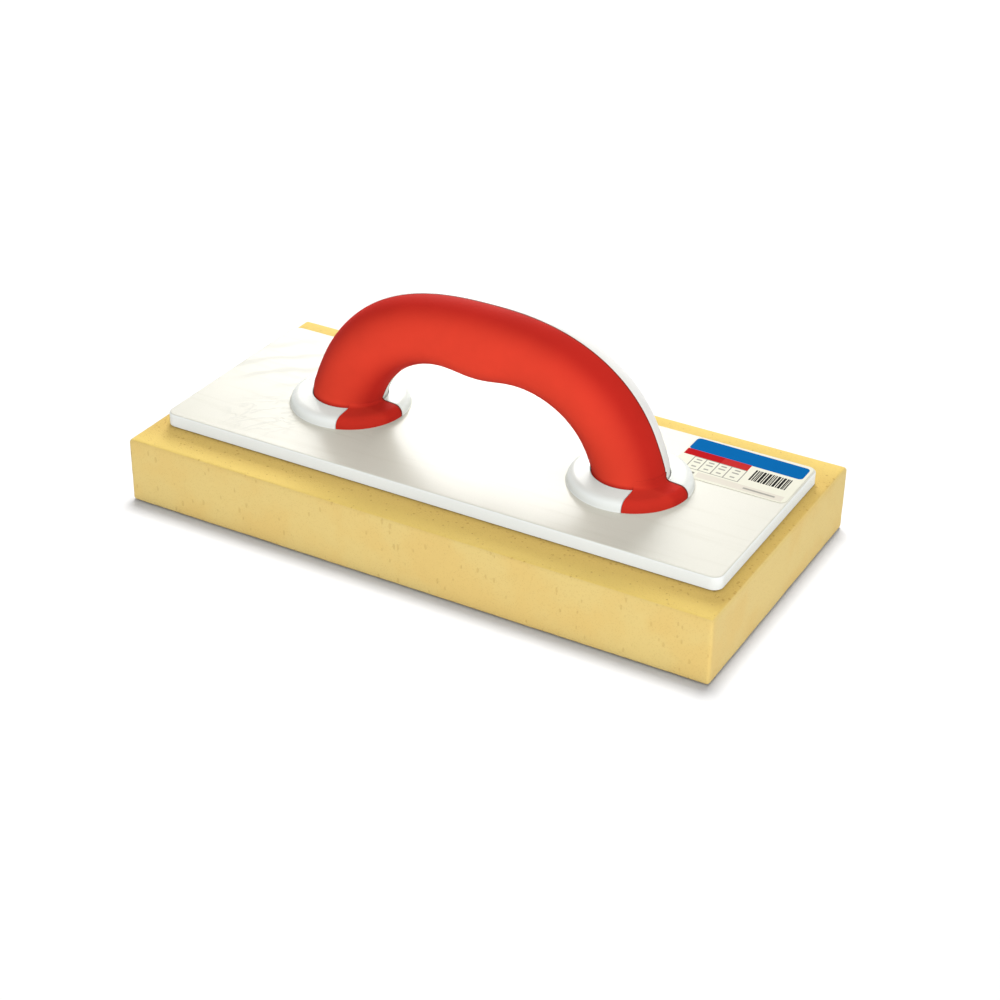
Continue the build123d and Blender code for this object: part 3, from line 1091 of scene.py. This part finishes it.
@dataclass
class Studio:
    """A pale floor, soft lights from behind, above and in front, and the camera."""

    azimuth: float = 28.816
    elevation: float = 30.493
    roll: float = 1.068
    distance: float = 0.93399
    aim: tuple[float, float, float] = (7.35 * MM, 0.0, 9.0 * MM)
    focal_length: float = 76.9
    floor_radius: float = 4.0
    floor_dull: Colour = (0.90, 0.90, 0.905)
    floor_pale: Colour = (0.92, 0.92, 0.92)
    sky: float = 0.35
    lamps: tuple[Lamp, ...] = (
        Lamp("back_key", 209.0, 28.5, 1.2, 0.6, 14.0, Lit.PIECES),
        Lamp("gleam", 209.0, 26.0, 1.2, 0.22, 5.0, Lit.PIECES, gloss_only=True),
        Lamp("overhead", 180.0, 80.0, 1.3, 1.0, 5.5, Lit.PIECES),
        Lamp("front_fill", 38.0, 24.0, 1.6, 1.2, 15.2, Lit.PIECES),
        Lamp("floor_wash", 200.5, 77.0, 4.0, 1.25, 138.0, Lit.FLOOR),
    )

    def back(self, azimuth: float, elevation: float) -> Vector:
        """The direction from the object towards a viewer at an azimuth and elevation in degrees."""
        a, e = math.radians(azimuth), math.radians(elevation)
        return Vector((math.sin(a) * math.cos(e), -math.cos(a) * math.cos(e), math.sin(e)))

    def camera(self) -> None:
        """Makes the camera."""
        data = bpy.data.cameras.new("camera")
        data.lens = self.focal_length
        data.clip_start, data.clip_end = 0.05, 50.0
        back = self.back(self.azimuth, self.elevation)
        across = Vector((0, 0, 1)).cross(back).normalized()
        up = back.cross(across)
        turned = math.radians(self.roll)
        right = across * math.cos(turned) + up * math.sin(turned)
        top = up * math.cos(turned) - across * math.sin(turned)
        camera = bpy.data.objects.new("camera", data)
        camera.matrix_world = Matrix.Translation(Vector(self.aim) + back * self.distance) @ Matrix(
            (right, top, back)).transposed().to_4x4()
        bpy.context.scene.collection.objects.link(camera)
        bpy.context.scene.camera = camera

    def floor(self) -> Object:
        """Adds the floor, pale with the faintest tooth, and returns it."""
        bm = bmesh.new()
        bmesh.ops.create_circle(bm, cap_ends=True, segments=96, radius=self.floor_radius)
        floor = finished("floor", bm, smooth_angle=30.0)
        finish = Finish("pale_floor")
        tooth = finish.group(moulded_grain(), Grain_Scale=300.0, Cloud_Scale=2.0)
        finish.feed(
            Base_Color=blend_colours(finish.tree, tooth["Cloud"], self.floor_dull, self.floor_pale),
            Roughness=span(finish.tree, tooth["Grain"], 0.2, 0.8, 0.75, 0.85),
            Specular_IOR_Level=0.1,
        )
        cover(floor, finish.material)
        return floor

    def build(self) -> None:
        """Sets up the whole studio."""
        scene = bpy.context.scene
        scene.view_settings.view_transform = "Standard"
        scene.world = bpy.data.worlds.new("sky")
        scene.world.use_nodes = True
        background = scene.world.node_tree.nodes["Background"]
        background.inputs["Color"].default_value = (1.0, 1.0, 1.0, 1.0)
        background.inputs["Strength"].default_value = self.sky
        self.camera()
        floor = self.floor()
        for lamp in self.lamps:
            lamp.build(self.back(lamp.azimuth, lamp.elevation), floor)


# ---- the whole float


def measured_foot() -> Foot:
    """The foot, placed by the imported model."""
    low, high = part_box("handle_front_shell")
    leg_x = -low.x - Foot.spigot_radius
    return Foot(leg_x=leg_x, outer_radius=high.x - leg_x, plate_top=low.z)


def report(piece: Object) -> None:
    """Logs a finished piece with its face count."""
    log.info("%s: %d faces", piece.name, len(piece.data.polygons))


def main() -> None:
    """Builds the studio, then each piece in order."""
    logging.basicConfig(level=logging.INFO, format="%(name)s %(message)s")
    Studio().build()
    foot = measured_foot()
    makers = (FoamBlock(), BackingPlate(foot), HandleShell(Half.FRONT, foot), HandleShell(Half.REAR, foot))
    for maker in makers:
        piece = maker.build()
        maker.dress(piece)
        report(piece)
    for piece in KeptPieces().dress():
        report(piece)


if __name__ == "__main__":
    main()
